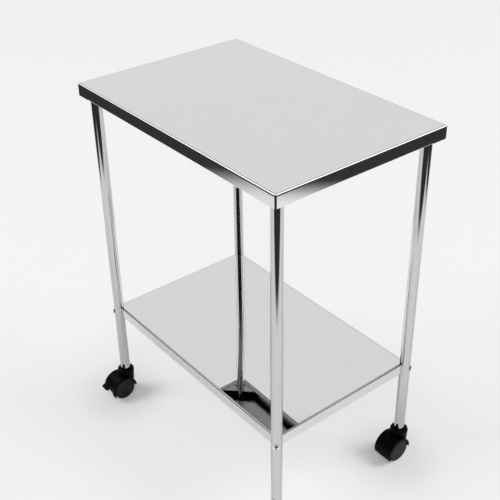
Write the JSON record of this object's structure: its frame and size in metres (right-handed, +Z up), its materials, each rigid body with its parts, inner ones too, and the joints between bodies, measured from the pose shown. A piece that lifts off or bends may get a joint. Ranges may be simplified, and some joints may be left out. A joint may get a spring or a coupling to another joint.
{
  "type": "hospital auxiliary table",
  "caption": "Wheeled auxiliary table of polished sheet steel with a folded top tray and a lower shelf on round tube legs with twin wheel casters.",
  "frame": {"origin": "on the floor, under the middle of the table, midway between the four legs", "axes": "+Z up; X along the table's length, +X to the right; -Y is the front; at rest the wheels trail towards -Y"},
  "size_m": [0.6, 0.4328, 0.78],
  "materials": {
    "polished_steel": "mirror polished stainless steel sheet and tube",
    "zinc_steel": "zinc plated steel",
    "black_plastic": "satin black moulded nylon",
    "wheel_plastic": "satin black moulded wheel",
    "tread_rubber": "dull black soft tread",
    "washer_plastic": "natural acetal washer"
  },
  "bodies": {
    "table": {"top_shelf": "polished_steel", "lower_shelf": "polished_steel", "top_gusset_front_left": "polished_steel", "leg_front_left": "polished_steel", "shelf_saddle_front_left": "polished_steel", "tube_insert_front_left": "black_plastic", "caster_stem_front_left": "zinc_steel", "top_gusset_front_right": "polished_steel", "leg_front_right": "polished_steel", "shelf_saddle_front_right": "polished_steel", "tube_insert_front_right": "black_plastic", "caster_stem_front_right": "zinc_steel", "top_gusset_back_right": "polished_steel", "leg_back_right": "polished_steel", "shelf_saddle_back_right": "polished_steel", "tube_insert_back_right": "black_plastic", "caster_stem_back_right": "zinc_steel", "top_gusset_back_left": "polished_steel", "leg_back_left": "polished_steel", "shelf_saddle_back_left": "polished_steel", "tube_insert_back_left": "black_plastic", "caster_stem_back_left": "zinc_steel", "shelf_bolts": "polished_steel", "shelf_nuts": "zinc_steel"},
    "caster_front_left": {"caster_hood_front_left": "black_plastic", "swivel_washer_front_left": "washer_plastic", "caster_axle_front_left": "zinc_steel", "brake_pin_front_left": "zinc_steel"},
    "brake_front_left": {"brake_pedal_front_left": "black_plastic"},
    "wheel_front_left_left": {"wheel_front_left_left": "wheel_plastic", "tread_front_left_left": "tread_rubber"},
    "wheel_front_left_right": {"wheel_front_left_right": "wheel_plastic", "tread_front_left_right": "tread_rubber"},
    "caster_front_right": {"caster_hood_front_right": "black_plastic", "swivel_washer_front_right": "washer_plastic", "caster_axle_front_right": "zinc_steel", "brake_pin_front_right": "zinc_steel"},
    "brake_front_right": {"brake_pedal_front_right": "black_plastic"},
    "wheel_front_right_left": {"wheel_front_right_left": "wheel_plastic", "tread_front_right_left": "tread_rubber"},
    "wheel_front_right_right": {"wheel_front_right_right": "wheel_plastic", "tread_front_right_right": "tread_rubber"},
    "caster_back_right": {"caster_hood_back_right": "black_plastic", "swivel_washer_back_right": "washer_plastic", "caster_axle_back_right": "zinc_steel"},
    "wheel_back_right_left": {"wheel_back_right_left": "wheel_plastic", "tread_back_right_left": "tread_rubber"},
    "wheel_back_right_right": {"wheel_back_right_right": "wheel_plastic", "tread_back_right_right": "tread_rubber"},
    "caster_back_left": {"caster_hood_back_left": "black_plastic", "swivel_washer_back_left": "washer_plastic", "caster_axle_back_left": "zinc_steel"},
    "wheel_back_left_left": {"wheel_back_left_left": "wheel_plastic", "tread_back_left_left": "tread_rubber"},
    "wheel_back_left_right": {"wheel_back_left_right": "wheel_plastic", "tread_back_left_right": "tread_rubber"}
  },
  "joints": [
    {"name": "swivel_front_left", "type": "hinge", "parent": "table", "child": "caster_front_left", "pos_m": [-0.2755, -0.173, 0.072], "axis": [0, 0, 1], "continuous": true},
    {"name": "brake_front_left", "type": "hinge", "parent": "caster_front_left", "child": "brake_front_left", "pos_m": [-0.2755, -0.2, 0.0445], "axis": [1, 0, 0], "range_deg": [0, 12]},
    {"name": "spin_front_left_left", "type": "hinge", "parent": "caster_front_left", "child": "wheel_front_left_left", "pos_m": [-0.2755, -0.191, 0.026], "axis": [1, 0, 0], "continuous": true},
    {"name": "spin_front_left_right", "type": "hinge", "parent": "caster_front_left", "child": "wheel_front_left_right", "pos_m": [-0.2755, -0.191, 0.026], "axis": [1, 0, 0], "continuous": true},
    {"name": "swivel_front_right", "type": "hinge", "parent": "table", "child": "caster_front_right", "pos_m": [0.2755, -0.173, 0.072], "axis": [0, 0, 1], "continuous": true},
    {"name": "brake_front_right", "type": "hinge", "parent": "caster_front_right", "child": "brake_front_right", "pos_m": [0.2755, -0.2, 0.0445], "axis": [1, 0, 0], "range_deg": [0, 12]},
    {"name": "spin_front_right_left", "type": "hinge", "parent": "caster_front_right", "child": "wheel_front_right_left", "pos_m": [0.2755, -0.191, 0.026], "axis": [1, 0, 0], "continuous": true},
    {"name": "spin_front_right_right", "type": "hinge", "parent": "caster_front_right", "child": "wheel_front_right_right", "pos_m": [0.2755, -0.191, 0.026], "axis": [1, 0, 0], "continuous": true},
    {"name": "swivel_back_right", "type": "hinge", "parent": "table", "child": "caster_back_right", "pos_m": [0.2755, 0.173, 0.072], "axis": [0, 0, 1], "continuous": true},
    {"name": "spin_back_right_left", "type": "hinge", "parent": "caster_back_right", "child": "wheel_back_right_left", "pos_m": [0.2755, 0.155, 0.026], "axis": [1, 0, 0], "continuous": true},
    {"name": "spin_back_right_right", "type": "hinge", "parent": "caster_back_right", "child": "wheel_back_right_right", "pos_m": [0.2755, 0.155, 0.026], "axis": [1, 0, 0], "continuous": true},
    {"name": "swivel_back_left", "type": "hinge", "parent": "table", "child": "caster_back_left", "pos_m": [-0.2755, 0.173, 0.072], "axis": [0, 0, 1], "continuous": true},
    {"name": "spin_back_left_left", "type": "hinge", "parent": "caster_back_left", "child": "wheel_back_left_left", "pos_m": [-0.2755, 0.155, 0.026], "axis": [1, 0, 0], "continuous": true},
    {"name": "spin_back_left_right", "type": "hinge", "parent": "caster_back_left", "child": "wheel_back_left_right", "pos_m": [-0.2755, 0.155, 0.026], "axis": [1, 0, 0], "continuous": true}
  ]
}
